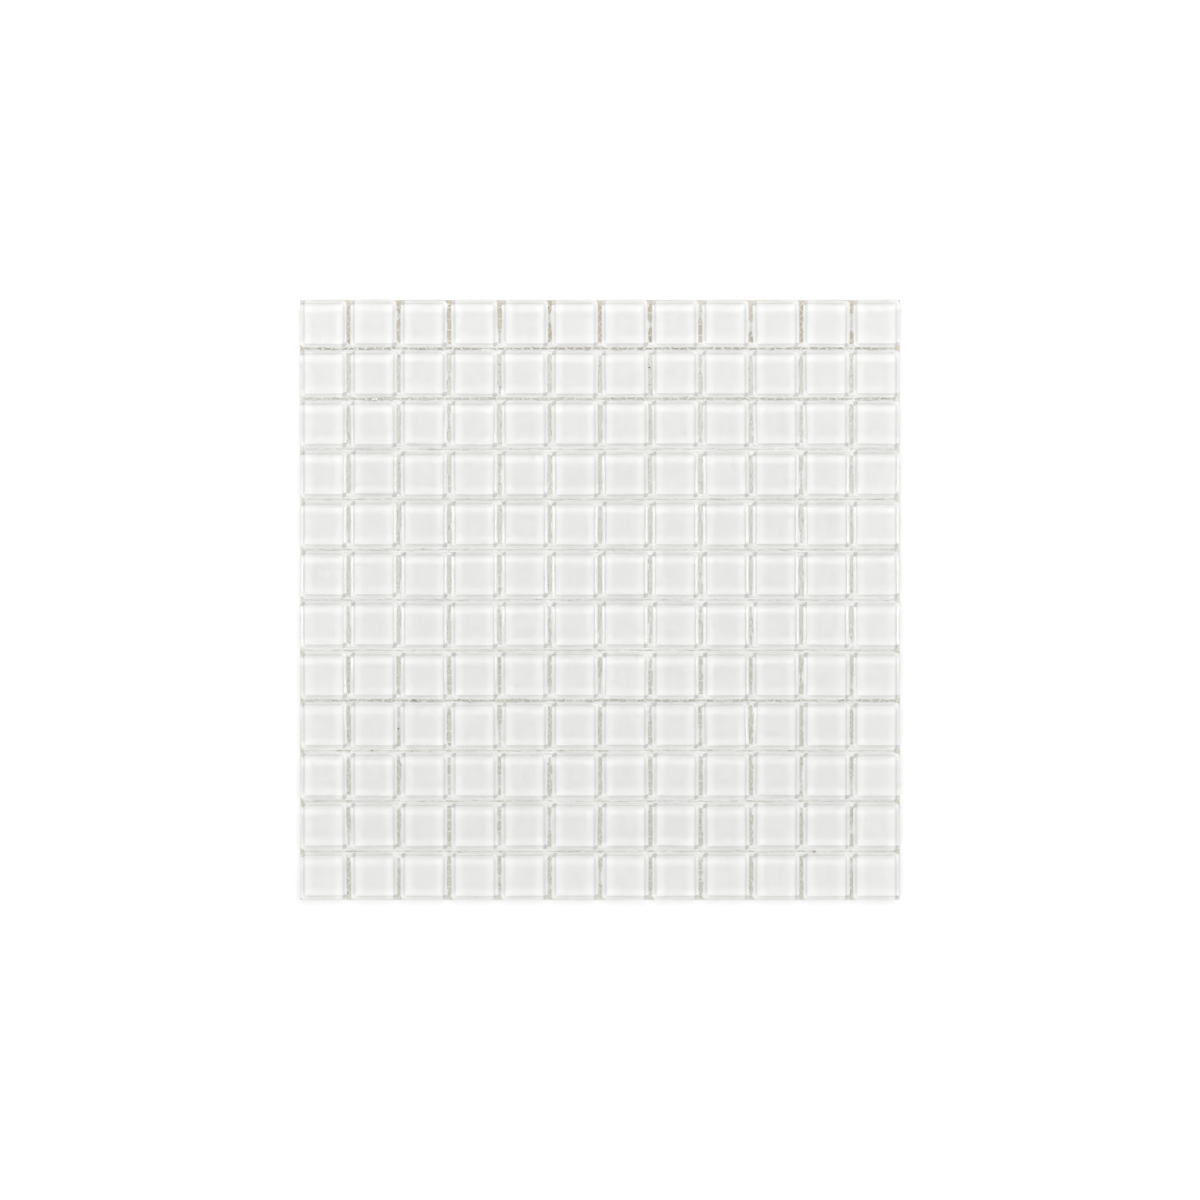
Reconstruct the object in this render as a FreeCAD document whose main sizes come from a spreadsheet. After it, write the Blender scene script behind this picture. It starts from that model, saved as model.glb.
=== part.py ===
# Mosaic tile sheet: square chips of clear glass in an even grid, glued by their backs to one textile net.
# Millimetres. The sheet lies face up. The origin is the centre of the net's underside, +X runs along a row
# of chips, +Y across the rows and +Z out of the glass face.
import FreeCAD, Part

import math
import os

import Sketcher

document = FreeCAD.newDocument("mosaic_tile_sheet")


# Driving dimensions

sizes = document.addObject("Spreadsheet::Sheet", "Sizes")
driving_dimensions = [
    ("chip_side", 23.0, "side of one square chip"),
    ("chip_thickness", 4.0, "glass, from its bonded back to its face"),
    ("edge_radius", 2.25, "fire-polished rounding along the face's four edges"),
    ("shoulder_angle", 10.0, "degrees between the rounding's foot and the upright side"),
    ("joint_width", 2.0, "open joint between neighbouring chips"),
    ("chips_in_row", 12, "chips along X"),
    ("row_count", 12, "rows along Y"),
    ("net_thickness", 0.4, "knitted net with the glue that soaks it"),
    ("net_inset", 1.0, "how far inside the outer chips the net is cut"),
]
for line, (name, value, meaning) in enumerate(driving_dimensions, start=1):
    sizes.set(f"A{line}", meaning)
    sizes.set(f"B{line}", str(value))
    sizes.setAlias(f"B{line}", name)
document.recompute()


# What the pieces take from the sheet

PITCH = "(Sizes.chip_side + Sizes.joint_width)"
RIM_WIDTH = "Sizes.edge_radius * cos(Sizes.shoulder_angle)"
ROUNDING_DEPTH = "Sizes.edge_radius * (1 - sin(Sizes.shoulder_angle))"
NET_LENGTH = f"Sizes.chips_in_row * {PITCH} - Sizes.joint_width - 2 * Sizes.net_inset"
NET_WIDTH = f"Sizes.row_count * {PITCH} - Sizes.joint_width - 2 * Sizes.net_inset"


def from_sheet(expression):
    """The number that an expression gives now."""
    return float(sizes.evalExpression(expression))


def origin_feature(body, role):
    """One of the body's own origin planes or axes."""
    for feature in body.Origin.OriginFeatures:
        if feature.Role == role:
            return feature
    raise ValueError(f"{body.Label} has no {role}")


def add_body(label):
    body = document.addObject("PartDesign::Body", label)
    body.Label = label
    return body


def add_sketch(body, name, plane):
    """An empty sketch on one of the body's own origin planes."""
    sketch = body.newObject("Sketcher::SketchObject", name)
    sketch.AttachmentSupport = [(origin_feature(body, plane), "")]
    sketch.MapMode = "FlatFace"
    return sketch


def tie(sketch, name, kind, *ends, expression):
    """A named dimension of the sketch that follows the sheet."""
    index = sketch.addConstraint(Sketcher.Constraint(kind, *ends, from_sheet(expression)))
    sketch.renameConstraint(index, name)
    sketch.setExpression(f"Constraints.{name}", expression)


def join_ends(sketch, loop):
    """Closes an outline: the end of each edge meets the start of the next."""
    for edge, following in zip(loop, loop[1:] + loop[:1]):
        sketch.addConstraint(Sketcher.Constraint("Coincident", edge, 2, following, 1))


# One row of glass chips

def rounded_corner(side_of_chip):
    """The foot, the middle and the top of the rounding, right of the centre for 1 and left of it for -1."""
    radius = sizes.edge_radius
    shoulder = math.radians(sizes.shoulder_angle)
    centre_out = sizes.chip_side / 2 - radius * math.cos(shoulder)
    centre_up = sizes.chip_thickness - radius
    corner = []
    for turn in (shoulder, (shoulder + math.pi / 2) / 2, math.pi / 2):
        out = centre_out + radius * math.cos(turn)
        up = centre_up + radius * math.sin(turn)
        corner.append(FreeCAD.Vector(side_of_chip * out, up, 0))
    return corner


def draw_chip_profile(sketch):
    """The chip seen from its side: flat back, upright sides, and a rounding up to the face at both corners."""
    foot, middle, top = rounded_corner(1)
    left_foot, left_middle, left_top = rounded_corner(-1)
    right_heel = FreeCAD.Vector(sizes.chip_side / 2, 0, 0)
    left_heel = -right_heel
    outline = [
        Part.LineSegment(left_heel, right_heel),
        Part.LineSegment(right_heel, foot),
        Part.Arc(foot, middle, top),
        Part.LineSegment(top, left_top),
        Part.Arc(left_top, left_middle, left_foot),
        Part.LineSegment(left_foot, left_heel),
    ]
    back, right_side, right_rounding, face, left_rounding, left_side = sketch.addGeometry(outline)
    join_ends(sketch, [back, right_side, right_rounding, face, left_rounding, left_side])
    sketch.addConstraint(Sketcher.Constraint("Symmetric", back, 1, back, 2, -1, 1))
    sketch.addConstraint(Sketcher.Constraint("Horizontal", back))
    sketch.addConstraint(Sketcher.Constraint("Vertical", right_side))
    sketch.addConstraint(Sketcher.Constraint("Vertical", left_side))
    sketch.addConstraint(Sketcher.Constraint("Symmetric", face, 1, face, 2, -2))
    sketch.addConstraint(Sketcher.Constraint("Equal", right_rounding, left_rounding))
    tie(sketch, "side", "DistanceX", back, 1, back, 2, expression="Sizes.chip_side")
    tie(sketch, "thickness", "DistanceY", back, 2, face, 1, expression="Sizes.chip_thickness")
    tie(sketch, "rim", "DistanceX", right_rounding, 2, right_rounding, 1, expression=RIM_WIDTH)
    tie(sketch, "fall", "DistanceY", right_rounding, 1, right_rounding, 2, expression=ROUNDING_DEPTH)
    tie(sketch, "fall_left", "DistanceY", left_rounding, 2, left_rounding, 1, expression=ROUNDING_DEPTH)
    tie(sketch, "rounding", "Radius", right_rounding, expression="Sizes.edge_radius")


def draw_corner_waste(sketch, side_of_chip):
    """What the rounding takes off one square corner of the profile."""
    foot, middle, top = rounded_corner(side_of_chip)
    corner = FreeCAD.Vector(foot.x, top.y, 0)
    if side_of_chip > 0:
        rounding, before, after = Part.Arc(foot, middle, top), foot, top
    else:
        rounding, before, after = Part.Arc(top, middle, foot), top, foot
    outline = [rounding, Part.LineSegment(after, corner), Part.LineSegment(corner, before)]
    rounding, along, back = sketch.addGeometry(outline)
    face_edge, side_edge = (along, back) if side_of_chip > 0 else (back, along)
    name = "right" if side_of_chip > 0 else "left"
    join_ends(sketch, [rounding, along, back])
    sketch.addConstraint(Sketcher.Constraint("Horizontal", face_edge))
    sketch.addConstraint(Sketcher.Constraint("Vertical", side_edge))
    half_side = "Sizes.chip_side / 2"
    if side_of_chip > 0:
        tie(sketch, f"{name}_half", "DistanceX", -1, 1, along, 2, expression=half_side)
        tie(sketch, f"{name}_rim", "DistanceX", along, 1, along, 2, expression=RIM_WIDTH)
        tie(sketch, f"{name}_fall", "DistanceY", back, 2, back, 1, expression=ROUNDING_DEPTH)
    else:
        tie(sketch, f"{name}_half", "DistanceX", along, 2, -1, 1, expression=half_side)
        tie(sketch, f"{name}_rim", "DistanceX", back, 1, back, 2, expression=RIM_WIDTH)
        tie(sketch, f"{name}_fall", "DistanceY", along, 1, along, 2, expression=ROUNDING_DEPTH)
    tie(sketch, f"{name}_height", "DistanceY", -1, 1, along, 2, expression="Sizes.chip_thickness")
    tie(sketch, f"{name}_rounding", "Radius", rounding, expression="Sizes.edge_radius")


def make_chip_row(number):
    """A row of equal chips. The first is rounded along Y, then across, and repeated along X."""
    row = add_body(f"chip_row_{number:02d}")

    profile = add_sketch(row, f"chip_profile_{number:02d}", "XZ_Plane")
    draw_chip_profile(profile)
    bar = row.newObject("PartDesign::Pad", f"chip_bar_{number:02d}")
    bar.Profile = profile
    bar.SideType = "Symmetric"
    bar.setExpression("Length", "Sizes.chip_side")
    document.recompute()

    waste = add_sketch(row, f"corner_waste_{number:02d}", "YZ_Plane")
    draw_corner_waste(waste, 1)
    draw_corner_waste(waste, -1)
    rounding = row.newObject("PartDesign::Pocket", f"rounding_across_{number:02d}")
    rounding.Profile = waste
    rounding.SideType = "Symmetric"
    rounding.setExpression("Length", "Sizes.chip_side")
    document.recompute()

    chips = row.newObject("PartDesign::LinearPattern", f"chips_{number:02d}")
    chips.TransformMode = "Whole shape"
    chips.Direction = (origin_feature(row, "X_Axis"), [""])
    chips.Mode = "Spacing"
    chips.setExpression("Offset", PITCH)
    chips.setExpression("Occurrences", "Sizes.chips_in_row")
    row.Tip = chips

    steps_from_middle = f"({number - 1} - (Sizes.row_count - 1) / 2)"
    row.setExpression("Placement.Base.x", f"-(Sizes.chips_in_row - 1) / 2 * {PITCH}")
    row.setExpression("Placement.Base.y", f"{steps_from_middle} * {PITCH}")
    row.setExpression("Placement.Base.z", "Sizes.net_thickness")
    return row


# The net that carries every chip

def make_net():
    """One flat cut of net, a little smaller than the field of chips, so that it never shows past them."""
    net = add_body("backing_net")
    cut = add_sketch(net, "net_cut", "XY_Plane")
    half_length = from_sheet(NET_LENGTH) / 2
    half_width = from_sheet(NET_WIDTH) / 2
    corners = [
        FreeCAD.Vector(-half_length, -half_width, 0),
        FreeCAD.Vector(half_length, -half_width, 0),
        FreeCAD.Vector(half_length, half_width, 0),
        FreeCAD.Vector(-half_length, half_width, 0),
    ]
    edges = [Part.LineSegment(start, end) for start, end in zip(corners, corners[1:] + corners[:1])]
    front, right, back, left = cut.addGeometry(edges)
    join_ends(cut, [front, right, back, left])
    cut.addConstraint(Sketcher.Constraint("Horizontal", front))
    cut.addConstraint(Sketcher.Constraint("Horizontal", back))
    cut.addConstraint(Sketcher.Constraint("Vertical", right))
    cut.addConstraint(Sketcher.Constraint("Vertical", left))
    cut.addConstraint(Sketcher.Constraint("Symmetric", front, 1, back, 1, -1, 1))
    tie(cut, "length", "DistanceX", front, 1, front, 2, expression=NET_LENGTH)
    tie(cut, "width", "DistanceY", right, 1, right, 2, expression=NET_WIDTH)
    layer = net.newObject("PartDesign::Pad", "net_layer")
    layer.Profile = cut
    layer.setExpression("Length", "Sizes.net_thickness")
    return net


pieces = [make_net()]
for row_number in range(1, int(sizes.row_count) + 1):
    pieces.append(make_chip_row(row_number))
document.recompute()


# Check and write

for thing in document.Objects:
    if "Invalid" in thing.State or "Error" in thing.State:
        raise RuntimeError(f"{thing.Label} did not recompute: {thing.State}")
for piece in pieces:
    if piece.Shape.isNull() or not piece.Shape.isValid():
        raise RuntimeError(f"{piece.Label} has no valid shape")
for chip_row in pieces[1:]:
    if len(chip_row.Shape.Solids) != int(sizes.chips_in_row):
        raise RuntimeError(f"{chip_row.Label} has {len(chip_row.Shape.Solids)} chips")

os.makedirs("parts", exist_ok=True)
for piece in pieces:
    piece.Shape.exportStep(f"parts/{piece.Label}.step")
    print(piece.Label, len(piece.Shape.Solids), round(piece.Shape.Volume, 1))
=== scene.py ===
import math
import random

import bpy
import numpy as np
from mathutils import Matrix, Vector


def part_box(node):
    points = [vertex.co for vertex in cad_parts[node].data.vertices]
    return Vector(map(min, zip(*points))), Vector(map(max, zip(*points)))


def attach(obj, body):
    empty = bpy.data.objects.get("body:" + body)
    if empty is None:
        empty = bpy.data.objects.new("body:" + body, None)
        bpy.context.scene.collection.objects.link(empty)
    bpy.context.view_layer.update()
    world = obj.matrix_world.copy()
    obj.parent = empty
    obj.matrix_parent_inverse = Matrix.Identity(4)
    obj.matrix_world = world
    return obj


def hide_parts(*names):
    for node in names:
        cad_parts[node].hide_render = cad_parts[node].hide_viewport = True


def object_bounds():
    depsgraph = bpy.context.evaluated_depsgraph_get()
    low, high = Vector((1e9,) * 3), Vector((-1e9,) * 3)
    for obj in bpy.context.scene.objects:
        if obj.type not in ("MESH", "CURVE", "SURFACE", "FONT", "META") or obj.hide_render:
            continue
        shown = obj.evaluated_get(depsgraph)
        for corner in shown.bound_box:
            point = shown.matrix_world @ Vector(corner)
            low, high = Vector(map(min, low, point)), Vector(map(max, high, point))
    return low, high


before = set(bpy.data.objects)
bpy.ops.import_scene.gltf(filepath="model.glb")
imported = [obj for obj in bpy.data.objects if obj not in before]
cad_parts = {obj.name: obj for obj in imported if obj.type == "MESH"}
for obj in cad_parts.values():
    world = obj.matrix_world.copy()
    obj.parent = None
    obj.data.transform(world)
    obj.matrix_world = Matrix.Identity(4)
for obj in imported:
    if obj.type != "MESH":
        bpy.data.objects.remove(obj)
cad_low, cad_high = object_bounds()


# Where the sheet is looked at from
# It lies face up and is seen from straight above, from so far that no chip shows its side. In a picture
# 1200 pixels wide it takes up 600.

MM = 0.001

picture_pixels = 1200
sheet_pixels = 600
sheet_width = cad_high.x - cad_low.x
sheet_top = cad_high.z
picture_width = sheet_width * picture_pixels / sheet_pixels
camera_height = 3.0
sensor_width = 36.0

camera_data = bpy.data.cameras.new("camera")
camera_data.sensor_width = sensor_width
camera_data.lens = sensor_width * (camera_height - sheet_top) / picture_width
camera_data.clip_end = 20.0
camera = bpy.data.objects.new("camera", camera_data)
camera.location = (0, 0, camera_height)
bpy.context.scene.collection.objects.link(camera)
bpy.context.scene.camera = camera
bpy.context.scene.view_settings.view_transform = "Standard"


# The backing net
# A knitted net of white polyester yarn, cut from the roll and laid under the chips. Each yarn runs along X
# and swings from one neighbour to the other, so that pairs of yarns close a honeycomb of small cells.

net_low, net_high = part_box("backing_net")
cell_length = 4.33 * MM
cell_width = 5.54 * MM
rung_length = 2.1 * MM
first_rung = -1.98 * MM
yarn_width = 0.46 * MM
yarn_height = 0.30 * MM
yarn_spread = 0.18 * MM
yarn_sides = 6
yarn_lift = 0.02 * MM
fibre_size = 0.4 * MM
fibre_relief = 0.05 * MM
net_height = (net_low.z + net_high.z) / 2


def material(name, colour, roughness):
    """A new material of one colour, with its shader and its node tree."""
    made = bpy.data.materials.new(name)
    made.use_nodes = True
    shader = made.node_tree.nodes["Principled BSDF"]
    shader.inputs["Base Color"].default_value = (*colour, 1)
    shader.inputs["Roughness"].default_value = roughness
    return made, shader, made.node_tree


def add_node(tree, kind, inputs=(), **settings):
    """A shader node with its settings, and each input given as a value or as the socket it is fed from."""
    node = tree.nodes.new(kind)
    for setting, value in settings.items():
        setattr(node, setting, value)
    for socket, value in dict(inputs).items():
        if isinstance(value, bpy.types.NodeSocket):
            tree.links.new(value, node.inputs[socket])
        else:
            node.inputs[socket].default_value = value
    return node


def mottle(tree, shader, size, dark, light):
    """Lets the colour wander between two close shades, in patches of about one size. Gives the pattern."""
    place = add_node(tree, "ShaderNodeNewGeometry").outputs["Position"]
    pattern = {"Vector": place, "Scale": 1 / size, "Detail": 3.0}
    patches = add_node(tree, "ShaderNodeTexNoise", pattern).outputs["Fac"]
    shades = add_node(tree, "ShaderNodeMix", {"Factor": patches}, data_type="RGBA")
    shades.inputs["A"].default_value = (*dark, 1)
    shades.inputs["B"].default_value = (*light, 1)
    tree.links.new(shades.outputs["Result"], shader.inputs["Base Color"])
    return patches


def roughen(tree, shader, pattern, depth, strength):
    """Raises and sinks the surface by a pattern, as bump."""
    relief = add_node(tree, "ShaderNodeBump", {"Height": pattern, "Strength": strength, "Distance": depth})
    tree.links.new(relief.outputs["Normal"], shader.inputs["Normal"])


def mesh_piece(name, points, faces, materials, shown=None):
    """A smooth mesh object in the scene, whose faces show the materials that are numbered in shown."""
    mesh = bpy.data.meshes.new(name)
    mesh.from_pydata([tuple(p) for p in points], [], [tuple(f) for f in faces])
    for each in materials:
        mesh.materials.append(each)
    mesh.polygons.foreach_set("use_smooth", [True] * len(faces))
    if shown is not None:
        mesh.polygons.foreach_set("material_index", shown)
    piece = bpy.data.objects.new(name, mesh)
    bpy.context.scene.collection.objects.link(piece)
    return piece


def yarn_path(start_y, swing_y):
    """Points along one yarn: a rung beside one neighbour, a slant, a rung beside the other, a slant back."""
    points = []
    x = net_low.x + first_rung
    beside_start = True
    while x < net_high.x:
        y = start_y if beside_start else swing_y
        points += [(max(x, net_low.x), y), (min(x + rung_length, net_high.x), y)]
        x += cell_length
        beside_start = not beside_start
    return points


def yarn_tube(path, first_up, points, faces):
    """A flattened tube along the path, added to the lists. It weaves up and down past its neighbours."""
    first = len(points)
    turns = [2 * math.pi * (side + 0.5) / yarn_sides for side in range(yarn_sides)]
    for number, (x, y) in enumerate(path):
        before = path[max(number - 1, 0)]
        after = path[min(number + 1, len(path) - 1)]
        along = math.atan2(after[1] - before[1], after[0] - before[0])
        across = (-math.sin(along), math.cos(along))
        lift = yarn_lift if (number + first_up) % 4 < 2 else -yarn_lift
        for turn in turns:
            out = math.cos(turn) * yarn_width / 2
            up = net_height + lift + math.sin(turn) * yarn_height / 2
            points.append((x + across[0] * out, y + across[1] * out, up))
    for number in range(len(path) - 1):
        here = first + number * yarn_sides
        for side in range(yarn_sides):
            following = (side + 1) % yarn_sides
            ahead = here + yarn_sides
            faces.append((here + side, here + following, ahead + following, ahead + side))
    last = first + (len(path) - 1) * yarn_sides
    faces.append([first + side for side in reversed(range(yarn_sides))])
    faces.append([last + side for side in range(yarn_sides)])


net_points, net_faces = [], []
half_cell = cell_width / 2
yarn_count = 2 * int(net_high.y / half_cell) + 1
selvedge = net_high.y - yarn_width / 2
for number in range(yarn_count):
    rest = (number - (yarn_count - 1) / 2) * half_cell
    # Even yarns start beside the next yarn, odd ones beside the one before.
    reach = (half_cell / 2 - yarn_spread) * (1 if number % 2 == 0 else -1)
    start_y, swing_y = (min(max(y, -selvedge), selvedge) for y in (rest + reach, rest - reach))
    yarn_tube(yarn_path(start_y, swing_y), number, net_points, net_faces)

yarn, shader, tree = material("polyester_yarn", (0.88, 0.88, 0.855), 0.7)
fibres = mottle(tree, shader, fibre_size, (0.82, 0.82, 0.79), (0.94, 0.94, 0.92))
roughen(tree, shader, fibres, fibre_relief, 0.4)
net = mesh_piece("knitted_net", net_points, net_faces, [yarn])
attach(net, "root")
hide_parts("backing_net")


# The glass chips
# Squares of clear glass, 23 mm wide and 4 mm thick, whose face edges were melted round in the kiln. White
# enamel is printed on the back, a little short of the edges. They were laid face down in a grid jig by hand,
# so each sits slightly out of true.

chip_side = 23 * MM
chip_pitch = 25 * MM
chips_in_row = 12
chip_foot = net_high.z
chip_thickness = sheet_top - chip_foot
face_rounding = 2.25 * MM
rounding_steps = 10
shoulder = math.radians(10)
upright_corner = 1.5 * MM
corner_growth = 0.15
# The worn edge round the back: how far in, how high, and the share of the upright corner's radius.
back_edge = [(0.12 * MM, 0.0, 0.8), (0.03 * MM, 0.05 * MM, 0.95), (0.0, 0.2 * MM, 1.0)]
face_insets = (3.0 * MM, 5.0 * MM, 8.0 * MM)
print_half = (9.25 * MM, 9.50 * MM)
print_offset = 0.06 * MM
bare_half = (9.74 * MM, 9.77 * MM)
# How much further the margin reaches at the two corners painted darker as shade.
shaded_corner_reach = 0.45 * MM
bare_rounding = 0.05
near_corner = 0.94
corner_steps = 6
side_shares = (-0.97, -0.6, -0.2, 0.2, 0.6, 0.97)
around = 4 * (len(side_shares) + corner_steps + 1)
sharp_from = math.radians(50)

laying = random.Random(12)
melted_back = (-0.07, 0.10)
edge_bow = 0.07 * MM
bow_fading = 6
lean_share = 0.7
turned_degrees = 0.35
shifted = 0.22 * MM


def rounded_square(half, radius):
    """Points round a square with rounded corners, always as many and in the same order."""
    outline = []
    for quarter in range(4):
        turn = quarter * math.pi / 2
        toward = (math.cos(turn), math.sin(turn))
        across = (-toward[1], toward[0])
        middle = half - radius
        for share in side_shares:
            aside = share * middle
            outline.append((toward[0] * half + across[0] * aside, toward[1] * half + across[1] * aside))
        for step in range(corner_steps + 1):
            angle = turn + step / corner_steps * math.pi / 2
            x, y = ((toward[axis] + across[axis]) * middle for axis in (0, 1))
            outline.append((x + math.cos(angle) * radius, y + math.sin(angle) * radius))
    return outline


def bare_edge():
    """Where the bare margin meets the glue, further out at the two corners that carry the painted shade."""
    outline = []
    for x, y in rounded_square(1.0, bare_rounding):
        more = shaded_corner_reach if x * y < -near_corner else 0.0
        outline.append((x * (bare_half[0] + more), y * (bare_half[1] + more), 0.0))
    return outline


def chip_rings():
    """The chip as outlines, from the edge of its bare margin up its side and over to its face."""
    rings = [(inset, z, share * upright_corner) for inset, z, share in back_edge]
    for step in range(rounding_steps + 1):
        angle = shoulder + step / rounding_steps * (math.pi / 2 - shoulder)
        inset = face_rounding * (math.cos(shoulder) - math.cos(angle))
        fall = face_rounding * (1 - math.sin(angle))
        rings.append((inset, chip_thickness - fall, upright_corner + corner_growth * inset))
    rings += [(inset, chip_thickness, upright_corner) for inset in face_insets]
    outlines = [bare_edge()]
    for inset, z, radius in rings:
        outlines.append([(x, y, z) for x, y in rounded_square(chip_side / 2 - inset, radius)])
    return outlines


GLASS, ENAMEL, MARGIN, MARGIN_SHADE, GLUE = range(5)
# The two corners whose margin is painted darker as shade, counted round from the one at +X and +Y.
shaded_corners = (1, 3)


def chip_faces(ring_count):
    """The faces of one chip, and the number of the material that each shows."""
    faces, shown = [], []
    for ring in range(ring_count - 1):
        here = ring * around
        for step in range(around):
            following = (step + 1) % around
            faces.append((here + step, here + following, here + around + following, here + around + step))
            shown.append(GLUE if ring == 0 else GLASS)
    faces.append([(ring_count - 1) * around + step for step in range(around)])
    shown.append(GLASS)
    print_corner = ring_count * around
    sides = len(side_shares)
    for quarter in range(4):
        start = quarter * (sides + corner_steps + 1)
        here = print_corner + quarter
        side = [start + step for step in range(sides)]
        faces.append([print_corner + (quarter - 1) % 4, here] + side[::-1])
        bend = [start + sides - 1 + step for step in range(corner_steps + 2)]
        faces.append([here, (quarter + 1) % 4 * (sides + corner_steps + 1)] + bend[::-1])
        # Two corners of the margin take the darker colour: painted shade.
        shown += [MARGIN, MARGIN_SHADE if quarter in shaded_corners else MARGIN]
    faces.append([print_corner + quarter for quarter in reversed(range(4))])
    shown.append(ENAMEL)
    return faces, shown


def melted_unevenly(chip):
    """Each of the four edges melted back a little more or less than the others, and not quite straight."""
    right, left, back, front = (laying.uniform(*melted_back) for edge in range(4))
    half = chip_side / 2
    inset = half - np.max(np.abs(chip[:, :2]), axis=1)
    risen = np.clip((chip[:, 2] - (chip_thickness - face_rounding)) / face_rounding, 0, 1)
    faded = risen * np.clip(1 - (inset - face_rounding) / half, 0, 1) * np.minimum(inset, face_rounding)
    for axis, high, low in ((0, right, left), (1, back, front)):
        side = chip[:, axis] / half
        chip[:, axis] -= faded * side * np.where(side > 0, high, low)
    across = chip[:, :2] / half
    for axis in (0, 1):
        along = across[:, 1 - axis]
        for side in (1, -1):
            lean, bow = laying.uniform(-1, 1), laying.uniform(-1, 1)
            near = np.clip(across[:, axis] * side, 0, 1) ** bow_fading
            bend = lean_share * lean * along + bow * (along ** 2 - 0.5)
            chip[:, axis] += side * near * edge_bow * bend
    return chip


def laid_by_hand(chip, centre_x, centre_y):
    """The chip in its place, shifted and turned a little, and never past the edge of the sheet."""
    turn = math.radians(laying.gauss(0, turned_degrees))
    spin = np.array([[math.cos(turn), -math.sin(turn)], [math.sin(turn), math.cos(turn)]])
    chip[:, :2] = chip[:, :2] @ spin.T
    for axis, centre, edge in ((0, centre_x, cad_high.x), (1, centre_y, cad_high.y)):
        place = centre + laying.uniform(-shifted, shifted)
        reach = np.abs(chip[:, axis]).max()
        chip[:, axis] += min(max(place, reach - edge), edge - reach)
    chip[:, 2] += chip_foot
    return chip


def matt_material(name, colour, roughness):
    """A material with no gloss of its own, as behind glass or on the ground."""
    made, shader, tree = material(name, colour, roughness)
    shader.inputs["Specular IOR Level"].default_value = 0.0
    return made, shader, tree


glass, shader, tree = material("clear_glass", (0.993, 0.994, 0.992), 0.0)
shader.inputs["Transmission Weight"].default_value = 1.0
shader.inputs["IOR"].default_value = 1.5
enamel, shader, tree = matt_material("white_enamel", (0.93, 0.93, 0.922), 0.6)
mottle(tree, shader, 3 * MM, (0.92, 0.92, 0.912), (0.94, 0.94, 0.932))
margin, shader, tree = matt_material("bare_margin", (0.82, 0.825, 0.81), 0.6)
# Painted shade: the margin at two opposite corners, darker than the rest of the margin.
margin_painted_shade, shader, tree = matt_material("margin_painted_shade", (0.72, 0.725, 0.71), 0.6)
glue_film, shader, tree = matt_material("glue_film", (0.94, 0.94, 0.925), 0.6)

chip_materials = [glass, enamel, margin, margin_painted_shade, glue_film]
rings = chip_rings()
ring_faces, ring_shown = chip_faces(len(rings))
print_corners = []
for x, y in ((1, 1), (-1, 1), (-1, -1), (1, -1)):
    print_corners.append((x * print_half[0], y * print_half[1] + print_offset, 0))
one_chip = np.array([point for ring in rings for point in ring] + print_corners)
middle_number = (chips_in_row + 1) / 2
for row_number in range(1, chips_in_row + 1):
    points, faces, shown = [], [], []
    for column in range(1, chips_in_row + 1):
        centre_x, centre_y = ((number - middle_number) * chip_pitch for number in (column, row_number))
        chip = laid_by_hand(melted_unevenly(one_chip.copy()), centre_x, centre_y)
        faces += [[len(points) + corner for corner in face] for face in ring_faces]
        shown += ring_shown
        points += chip.tolist()
    row = mesh_piece(f"glass_row_{row_number:02d}", points, faces, chip_materials, shown)
    row.data.set_sharp_from_angle(angle=sharp_from)
    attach(row, "root")
    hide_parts(f"chip_row_{row_number:02d}")


# The glue
# White glue that dries hard. It was run along the net under each row of chips and dabbed where four chips
# meet, so most joints along X are nearly full, and those along Y stay open but for thin fillets.

joint_count = chips_in_row - 1
joint_places = [(number - (joint_count - 1) / 2) * chip_pitch for number in range(joint_count)]
open_rows = (4, 10, 11)
# How full a joint is, how high the fillets at its two sides stand, and how wide a fillet is.
full_row = (0.17 * MM, 1.7 * MM, 0.58 * MM)
open_row = (0.15 * MM, 0.45 * MM, 0.58 * MM)
open_column = (0.04 * MM, 0.30 * MM, 0.36 * MM)

across_joint = np.array([-1.45, -1.2, -0.95, -0.7, -0.45, -0.2, 0.0, 0.2, 0.45, 0.7, 0.95, 1.2, 1.45]) * MM
along_step = 0.9 * MM
glue_floor = 0.03 * MM
glue_least = 0.14 * MM
glue_most = 1.9 * MM
glue_skin = 1.5 * glue_floor
# Glue lower than this is painted darker, as shade.
low_glue_shade_height = 0.34 * MM
fillet_place = 1.1 * MM
fillet_least = 0.35
fillet_swell = 2.2 * MM
fill_swell = 3.1 * MM
fill_ripple = 0.9 * MM
ripple_share = 0.25
drift_swell = 6 * MM
drift_most = 0.4 * MM
film_height = 0.19 * MM
film_swell = 5 * MM
film_shares = (0.55, 0.8)

bead_height = (0.5 * MM, 1.1 * MM)
bead_reach = (2.3 * MM, 3.1 * MM)
bead_end = 0.6 * MM
bead_parting = (0.25 * MM, 0.75 * MM)
bead_slope = 0.4 * MM
crossing_half = 1.5 * MM
row_seed = 100
column_seed = 1000
film_seed = 3000


def wander(places, size, seed):
    """A smooth random line from 0 to 1 over the given places, with swells of about the given size."""
    dice = np.random.default_rng(seed)
    low = min(places) - size
    knots = np.arange(low, max(places) + 2 * size, size)
    return np.interp(places, knots, dice.random(len(knots)))


def joint_glue(stations, seed, fullness, fillet, width):
    """How high the glue stands at each station along a joint and each place across it."""
    near = (fillet_least + wander(stations, fillet_swell, seed)) * fillet
    far = (fillet_least + wander(stations, fillet_swell, seed + 1)) * fillet
    fill = fullness * wander(stations, fill_swell, seed + 2)
    fill = fill + ripple_share * fullness * wander(stations, fill_ripple, seed + 3)
    drift = (wander(stations, drift_swell, seed + 4) - 0.5) * drift_most
    across = across_joint[None, :] - drift[:, None]
    height = near[:, None] * np.exp(-((across + fillet_place) / width) ** 2)
    height = height + far[:, None] * np.exp(-((across - fillet_place) / width) ** 2)
    return height + fill[:, None]


def smooth_step(value, start, end):
    share = np.clip((value - start) / (end - start), 0, 1)
    return share * share * (3 - 2 * share)


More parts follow.
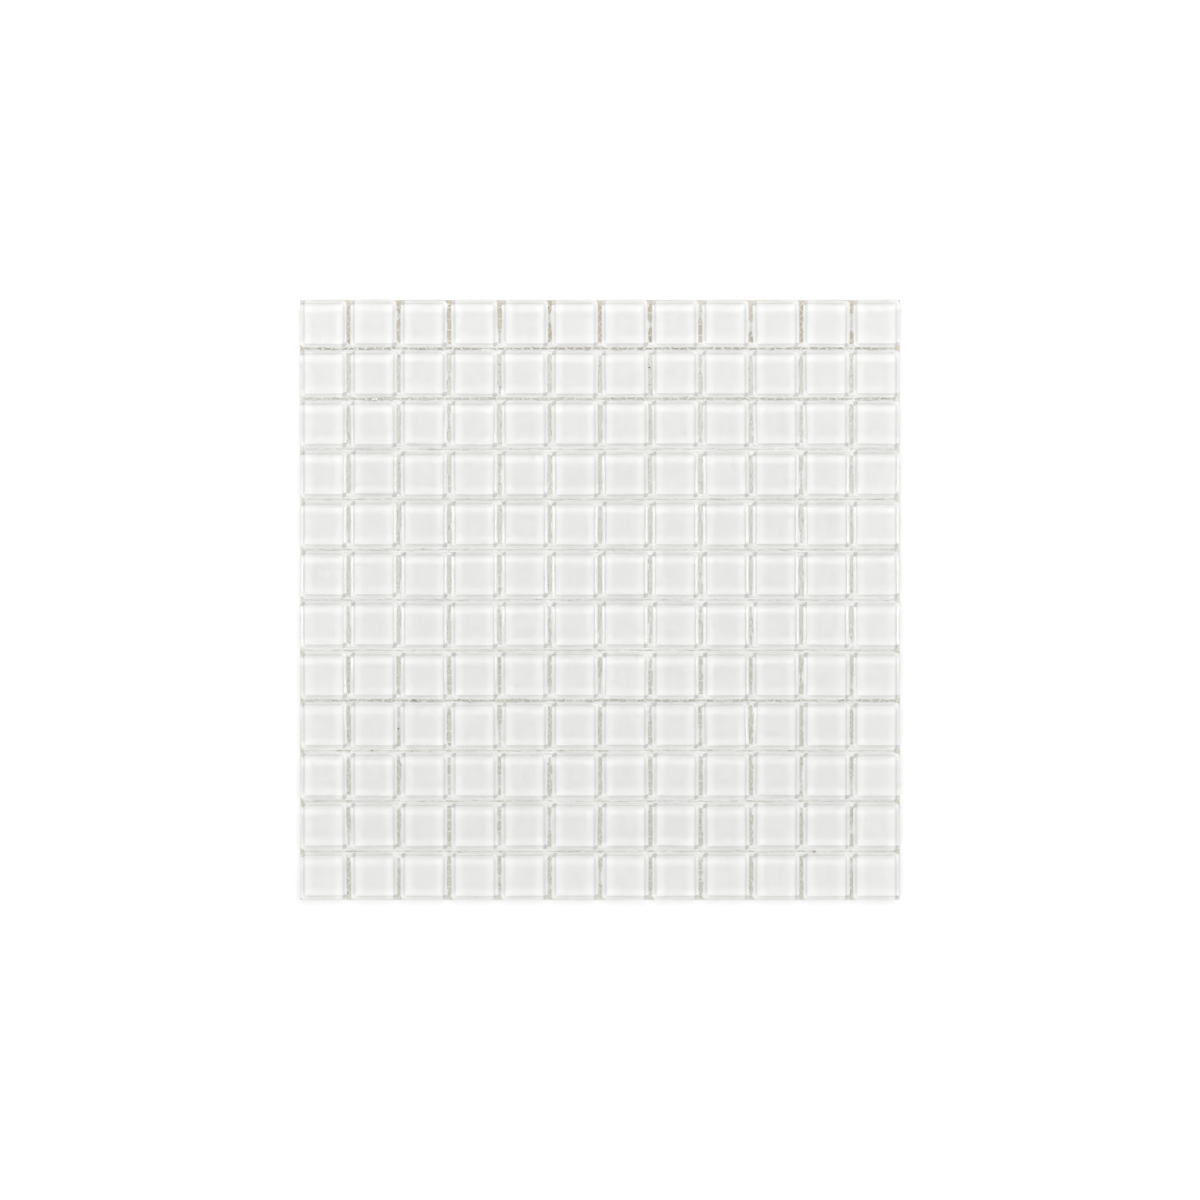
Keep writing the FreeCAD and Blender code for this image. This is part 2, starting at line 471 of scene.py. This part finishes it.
def crossing_dice(row_joint, column_joint):
    """How high the two beads stand at one crossing, how far they reach from it and how wide they part."""
    dice = random.Random(100 * row_joint + column_joint)
    kinds = (bead_height, bead_reach, bead_parting)
    return [[dice.uniform(*limits) for bead in range(2)] for limits in kinds]


def beads_across(height, stations, row_joint):
    """Lets the two beads of glue along a row pass over each crossing, with a parting between them."""
    for column_joint, place_x in enumerate(joint_places):
        heights, reaches, partings = crossing_dice(row_joint, column_joint)
        here = np.exp(-((np.abs(stations - place_x) / crossing_half) ** 4))[:, None]
        below = heights[0] * smooth_step(-across_joint, partings[0], partings[0] + bead_slope)
        above = heights[1] * smooth_step(across_joint, partings[1], partings[1] + bead_slope)
        # In every third crossing a thin film closes the parting.
        film = film_height if column_joint % 3 == 1 else 0.0
        height = height * (1 - here) + np.maximum(below + above, film)[None, :] * here
    return height


def beads_along(stations, column_joint, start_row, end_row):
    """How high the beads of the rows before and after stand in one stretch of a joint between columns."""
    height = np.zeros(len(stations))
    for row_joint, bead in ((start_row, 1), (end_row, 0)):
        if 0 <= row_joint < joint_count:
            heights, reaches, partings = crossing_dice(row_joint, column_joint)
            away = np.abs(stations - joint_places[row_joint])
            height += heights[bead] * (1 - smooth_step(away, reaches[bead] - bead_end, reaches[bead]))
    return height[:, None]


def glue_run(height, place, points, faces, shown):
    """Closed runs of glue where there is enough of it, added to the lists. Low glue takes the darker colour,
    painted shade for the bottom of the joint.
    """
    solid = (height[:-1, :-1] + height[1:, :-1] + height[:-1, 1:] + height[1:, 1:]) / 4 > glue_least
    long, wide = height.shape
    first = len(points)
    for layer in range(2):
        for i in range(long):
            for j in range(wide):
                top = min(max(height[i, j], glue_skin), glue_most)
                points.append(place(i, j, top if layer else glue_floor))

    def corner(i, j, layer):
        return first + (layer * long + i) * wide + j

    for i, j in np.argwhere(solid):
        around_cell = ((i, j), (i + 1, j), (i + 1, j + 1), (i, j + 1))
        before = len(faces)
        faces.append([corner(a, b, 1) for a, b in around_cell])
        faces.append([corner(a, b, 0) for a, b in reversed(around_cell)])
        beside = ((i, j - 1), (i + 1, j), (i, j + 1), (i - 1, j))
        for (a, b), (c, d), (m, n) in zip(around_cell, around_cell[1:] + around_cell[:1], beside):
            if not (0 <= m < long - 1 and 0 <= n < wide - 1 and solid[m, n]):
                faces.append([corner(a, b, 0), corner(c, d, 0), corner(c, d, 1), corner(a, b, 1)])
        low_in_joint = max(height[a, b] for a, b in around_cell) < low_glue_shade_height
        shown += [1 if low_in_joint else 0] * (len(faces) - before)


def glue_piece(name, points, faces, shown):
    """One piece of glue from the runs in the lists, without the points that no run uses."""
    used = sorted({corner for face in faces for corner in face})
    renumbered = {old: new for new, old in enumerate(used)}
    faces = [[renumbered[corner] for corner in face] for face in faces]
    piece = mesh_piece(name, [points[old] for old in used], faces, [dried_glue, low_glue_shade], shown)
    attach(piece, "root")


dried_glue, shader, tree = material("dried_glue", (0.94, 0.94, 0.925), 0.35)
blotches = mottle(tree, shader, 1.2 * MM, (0.92, 0.92, 0.90), (0.96, 0.96, 0.95))
roughen(tree, shader, blotches, 0.1 * MM, 0.3)
# Painted shade: glue that stands low in the joints is coloured darker and greyer than the rest.
low_glue_shade, shader, tree = material("low_glue_shade", (0.72, 0.725, 0.69), 0.4)
mottle(tree, shader, 0.9 * MM, (0.64, 0.645, 0.60), (0.80, 0.805, 0.77))

glue_inset = 0.5 * MM
half_sheet = net_high.x - glue_inset
points, faces, shown = [], [], []
stations = np.arange(-half_sheet, half_sheet, along_step)
for number, place_y in enumerate(joint_places):
    kind = open_row if number + 1 in open_rows else full_row
    height = joint_glue(stations, row_seed + 10 * number, *kind)
    height = beads_across(height, stations, number)
    glue_run(height, lambda i, j, z: (stations[i], place_y + across_joint[j], z), points, faces, shown)
glue_piece("glue_along_rows", points, faces, shown)

# Between the columns the glue stops short of each row's joint, where the run along the row takes over.
points, faces, shown = [], [], []
skip = 1.45 * MM
for number, place_x in enumerate(joint_places):
    ends = [-half_sheet] + [place + side * skip for place in joint_places for side in (-1, 1)] + [half_sheet]
    for stretch, (start, end) in enumerate(zip(ends[::2], ends[1::2])):
        stations = np.linspace(start, end, round((end - start) / along_step))
        spread = wander(stations, film_swell, film_seed + 20 * number + stretch)
        film = film_height * smooth_step(spread, *film_shares)
        height = joint_glue(stations, column_seed + 10 * number, *open_column) + film[:, None]
        height = height + beads_along(stations, number, stretch - 1, stretch)
        glue_run(height, lambda i, j, z: (place_x - across_joint[j], stations[i], z), points, faces, shown)
glue_piece("glue_between_columns", points, faces, shown)


# Lumps in the joints
# Glue that dried in ridges on the yarns where they cross the open joints, one blob of it that squeezed up,
# and crumbs of brown and black grit that stuck in it while it was wet.

lump_rings = 5
lump_sides = 8
lump_dice = random.Random(7)
lump_least = 0.75


def lump(place_x, place_y, base, long, wide, tall, points, faces, lean=0.0):
    """An uneven rounded lump on its base, added to the lists. Gives how many faces it has."""
    first, before = len(points), len(faces)
    straight, askew = math.cos(lean), math.sin(lean)
    for ring in range(1, lump_rings + 1):
        slope = ring / (lump_rings + 1) * math.pi
        for side in range(lump_sides):
            turn = (side + 0.5 * (ring % 2)) / lump_sides * 2 * math.pi
            out = math.sin(slope) * lump_dice.uniform(lump_least, 1.0) / 2
            up = (1 - math.cos(slope)) / 2 * tall
            along, aside = math.cos(turn) * out * long, math.sin(turn) * out * wide
            x = place_x + along * straight - aside * askew
            y = place_y + along * askew + aside * straight
            points.append((x, y, base + up))
    for ring in range(lump_rings - 1):
        for side in range(lump_sides):
            here = first + ring * lump_sides + side
            following = first + ring * lump_sides + (side + 1) % lump_sides
            faces.append((here, following, following + lump_sides, here + lump_sides))
    faces.append([first + side for side in reversed(range(lump_sides))])
    faces.append([first + (lump_rings - 1) * lump_sides + side for side in range(lump_sides)])
    return len(faces) - before


brown_grit, shader, tree = material("brown_grit", (0.42, 0.25, 0.12), 0.7)
mottle(tree, shader, 0.3 * MM, (0.34, 0.19, 0.09), (0.52, 0.32, 0.17))
black_grit, shader, tree = material("black_grit", (0.05, 0.05, 0.045), 0.7)
mottle(tree, shader, 0.3 * MM, (0.04, 0.04, 0.035), (0.08, 0.075, 0.07))
tan_grit, shader, tree = material("tan_grit", (0.60, 0.50, 0.40), 0.7)
mottle(tree, shader, 0.3 * MM, (0.52, 0.42, 0.32), (0.68, 0.58, 0.48))

BROWN, BLACK, TAN = range(3)
crumb_height = 0.6 * MM
crumb_base = {BROWN: 0.3 * MM, BLACK: 0.15 * MM, TAN: 0.3 * MM}
# Each crumb in millimetres: its place along X and Y, how long and wide it is, and its kind.
crumbs = [
    (-113.2, -74.9, 0.9, 0.8, BROWN),
    (-93.4, -75.1, 0.7, 0.9, TAN),
    (-84.6, -75.2, 0.8, 0.5, TAN),
    (-109.4, -49.8, 1.7, 0.7, TAN),
    (-110.3, -49.5, 0.5, 0.5, BROWN),
    (-92.6, -49.7, 0.8, 0.9, BROWN),
    (-91.7, -50.3, 0.9, 0.5, TAN),
    (-100.3, -63.9, 0.7, 0.5, BLACK),
    (24.5, 115.6, 0.8, 0.8, BLACK),
    (24.8, 107.2, 0.5, 0.5, BLACK),
    (106.7, -125.1, 1.2, 0.8, BROWN),
]
points, faces, shown = [], [], []
for x, y, long, wide, kind in crumbs:
    base = net_high.z + crumb_base[kind]
    shown += [kind] * lump(x * MM, y * MM, base, long * MM, wide * MM, crumb_height, points, faces)
grit = mesh_piece("grit", points, faces, [brown_grit, black_grit, tan_grit], shown)
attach(grit, "root")

# The blob is two lumps side by side, also in millimetres: place, length, width and height.
blob = ((-112.7, 99.8, 1.9, 1.3, 2.8), (-111.0, 99.9, 2.0, 1.4, 3.2))
lump_base = net_high.z + glue_floor
ridge_start = 1.75 * cell_length
ridge_length = (1.9, 2.7)
ridge_width = (0.6, 1.0)
ridge_height = (0.6, 1.2)
ridge_lean = (0.6, 0.9)
ridge_shift = (0.3, 0.2)
forward_share = 0.75

points, faces = [], []
for x, y, long, wide, tall in blob:
    lump(x * MM, y * MM, lump_base, long * MM, wide * MM, tall * MM, points, faces)
for joint in open_rows:
    joint_y = joint_places[joint - 1]
    slant_x = net_low.x + first_rung + ridge_start
    # The yarns of every other row of cells slant the other way, so their ridges start one cell later.
    if round(joint_y / half_cell) % 2:
        slant_x += cell_length
    while slant_x < half_sheet - 2 * cell_length:
        # Each yarn that slants back has a ridge, and most of those that slant forward.
        for way, share in ((-1, 1.0), (1, forward_share)):
            if lump_dice.random() < share:
                middle_x = slant_x + (0 if way < 0 else cell_length)
                place_x = middle_x + lump_dice.uniform(-ridge_shift[0], ridge_shift[0]) * MM
                place_y = joint_y + lump_dice.uniform(-ridge_shift[1], ridge_shift[1]) * MM
                long, wide = lump_dice.uniform(*ridge_length) * MM, lump_dice.uniform(*ridge_width) * MM
                tall = lump_dice.uniform(*ridge_height) * MM
                lean = way * lump_dice.uniform(*ridge_lean)
                lump(place_x, place_y, lump_base, long, wide, tall, points, faces, lean)
        slant_x += 2 * cell_length
lumps = mesh_piece("glue_lumps", points, faces, [dried_glue])
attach(lumps, "root")


# The floor and the light
# A plain white floor with two grey cards under the sheet, the paler one behind, and past them a strip of
# brown ground. The grey cards are darker than the floor to paint the shade deep in the joints, and all
# three strips reach just past the sheet's edges as a painted shadow line round it. A pale sky has soft
# bright patches, as from a lamp in front on the left, one behind on the right and one overhead in front,
# and an upright strip lamp at either side.

floor_half = 12.0
floor_height = -0.2 * MM
# Reaches 0.1 mm past the sheet's edges: a painted contact shadow line round it.
shade_card_half = 149.1 * MM
card_height = -0.05 * MM
card_seam = -25 * MM
ground_edge = 123.5 * MM
card_grain = 1.4 * MM
ground_grain = 20 * MM

floor_paint, shader, tree = matt_material("white_floor", (0.97, 0.97, 0.97), 0.9)
points = [(x, y, floor_height) for y in (-floor_half, floor_half) for x in (-floor_half, floor_half)]
floor = mesh_piece("floor", points, [(0, 1, 3, 2)], [floor_paint])
# Painted shade: the grey cards stand in for the shade deep in the joints, lighter behind the seam.
joint_shade_card, shader, tree = matt_material("joint_shade_card", (0.72, 0.74, 0.64), 0.9)
mottle(tree, shader, card_grain, (0.50, 0.52, 0.42), (0.94, 0.96, 0.86))
pale_joint_shade_card, shader, tree = matt_material("pale_joint_shade_card", (0.83, 0.85, 0.77), 0.9)
mottle(tree, shader, card_grain, (0.68, 0.70, 0.62), (0.98, 0.98, 0.92))
brown_ground, shader, tree = matt_material("brown_ground", (0.68, 0.62, 0.52), 0.9)
mottle(tree, shader, ground_grain, (0.40, 0.34, 0.24), (0.96, 0.90, 0.80))
strip_edges = (-shade_card_half, card_seam, ground_edge, shade_card_half)
points = [(x, y, card_height) for y in strip_edges for x in (-shade_card_half, shade_card_half)]
strips = [(0, 1, 3, 2), (2, 3, 5, 4), (4, 5, 7, 6)]
shade_cards_and_ground = mesh_piece("shade_cards_and_ground", points, strips, [joint_shade_card, pale_joint_shade_card, brown_ground], range(len(strips)))

world = bpy.data.worlds.new("studio")
world.use_nodes = True
sky_tree = world.node_tree
sky = sky_tree.nodes["Background"]
sky_way = add_node(sky_tree, "ShaderNodeTexCoord").outputs["Generated"]
sky_glow = 0.685
# The strip lamps: how bright, half how wide, how far turned, and where they start and are full.
strip_glow = 5.0
strip_half = 0.02
strip_turn = 0.006
strip_reach = (0.64, 0.74)
# Each patch: degrees round from +X and up, brightness, and the cosines where it starts and where it is full.
patches = [
    (225, 40, 0.72, 0.80, 0.93),
    (225, 38, 0.75, 0.95, 0.985),
    (45, 40, 0.72, 0.80, 0.93),
    (45, 38, 0.75, 0.95, 0.985),
    (270, 71, 0.8, 0.955, 0.985),
]


def reckon(operation, first, second=0.0):
    """A sum, product or the like of two values or sockets in the sky's node tree."""
    return add_node(sky_tree, "ShaderNodeMath", {0: first, 1: second}, operation=operation).outputs["Value"]


def ramp(value, start, full, most):
    """Rises softly from 0, where the value is at its start, to the most, where it is full."""
    ends = {"Value": value, "From Min": start, "From Max": full, "To Min": 0.0, "To Max": most}
    return add_node(sky_tree, "ShaderNodeMapRange", ends, interpolation_type="SMOOTHSTEP").outputs["Result"]


strength = reckon("ADD", sky_glow)
for round_degrees, up_degrees, brightness, start, full in patches:
    turn, up = math.radians(round_degrees), math.radians(up_degrees)
    way = (math.cos(turn) * math.cos(up), math.sin(turn) * math.cos(up), math.sin(up))
    facing = add_node(sky_tree, "ShaderNodeVectorMath", {0: sky_way, 1: way}, operation="DOT_PRODUCT")
    strength = reckon("ADD", strength, ramp(facing.outputs["Value"], start, full, brightness))
way_parts = add_node(sky_tree, "ShaderNodeSeparateXYZ", {0: sky_way}).outputs
for side in (1, -1):
    # An upright strip lamp, low beside the sheet: the rims that face it squarely mirror it as a white line.
    ahead = reckon("MULTIPLY", way_parts["X"], side)
    aside = reckon("SUBTRACT", way_parts["Y"], reckon("MULTIPLY", ahead, strip_turn))
    strip = ramp(reckon("ABSOLUTE", aside), strip_half, strip_half / 2, strip_glow)
    strip = reckon("MULTIPLY", strip, ramp(ahead, *strip_reach, 1.0))
    strength = reckon("ADD", strength, strip)
sky_tree.links.new(strength, sky.inputs["Strength"])
sky.inputs["Color"].default_value = (1, 1, 1, 1)
bpy.context.scene.world = world
bpy.context.scene.cycles.blur_glossy = 0.0

# A soft panel stands close behind the sheet, so that the rows at the back get more light than the others.
panel_place = (0.0, 0.55, 0.45)
panel_data = bpy.data.lights.new("soft_panel", "AREA")
panel_data.shape = "RECTANGLE"
panel_data.size = 0.9
panel_data.size_y = 0.5
panel_data.energy = 0.82
panel = bpy.data.objects.new("soft_panel", panel_data)
panel.location = panel_place
panel.visible_camera = False
panel.rotation_euler = (-math.atan2(panel_place[1], panel_place[2]), 0, 0)
bpy.context.scene.collection.objects.link(panel)
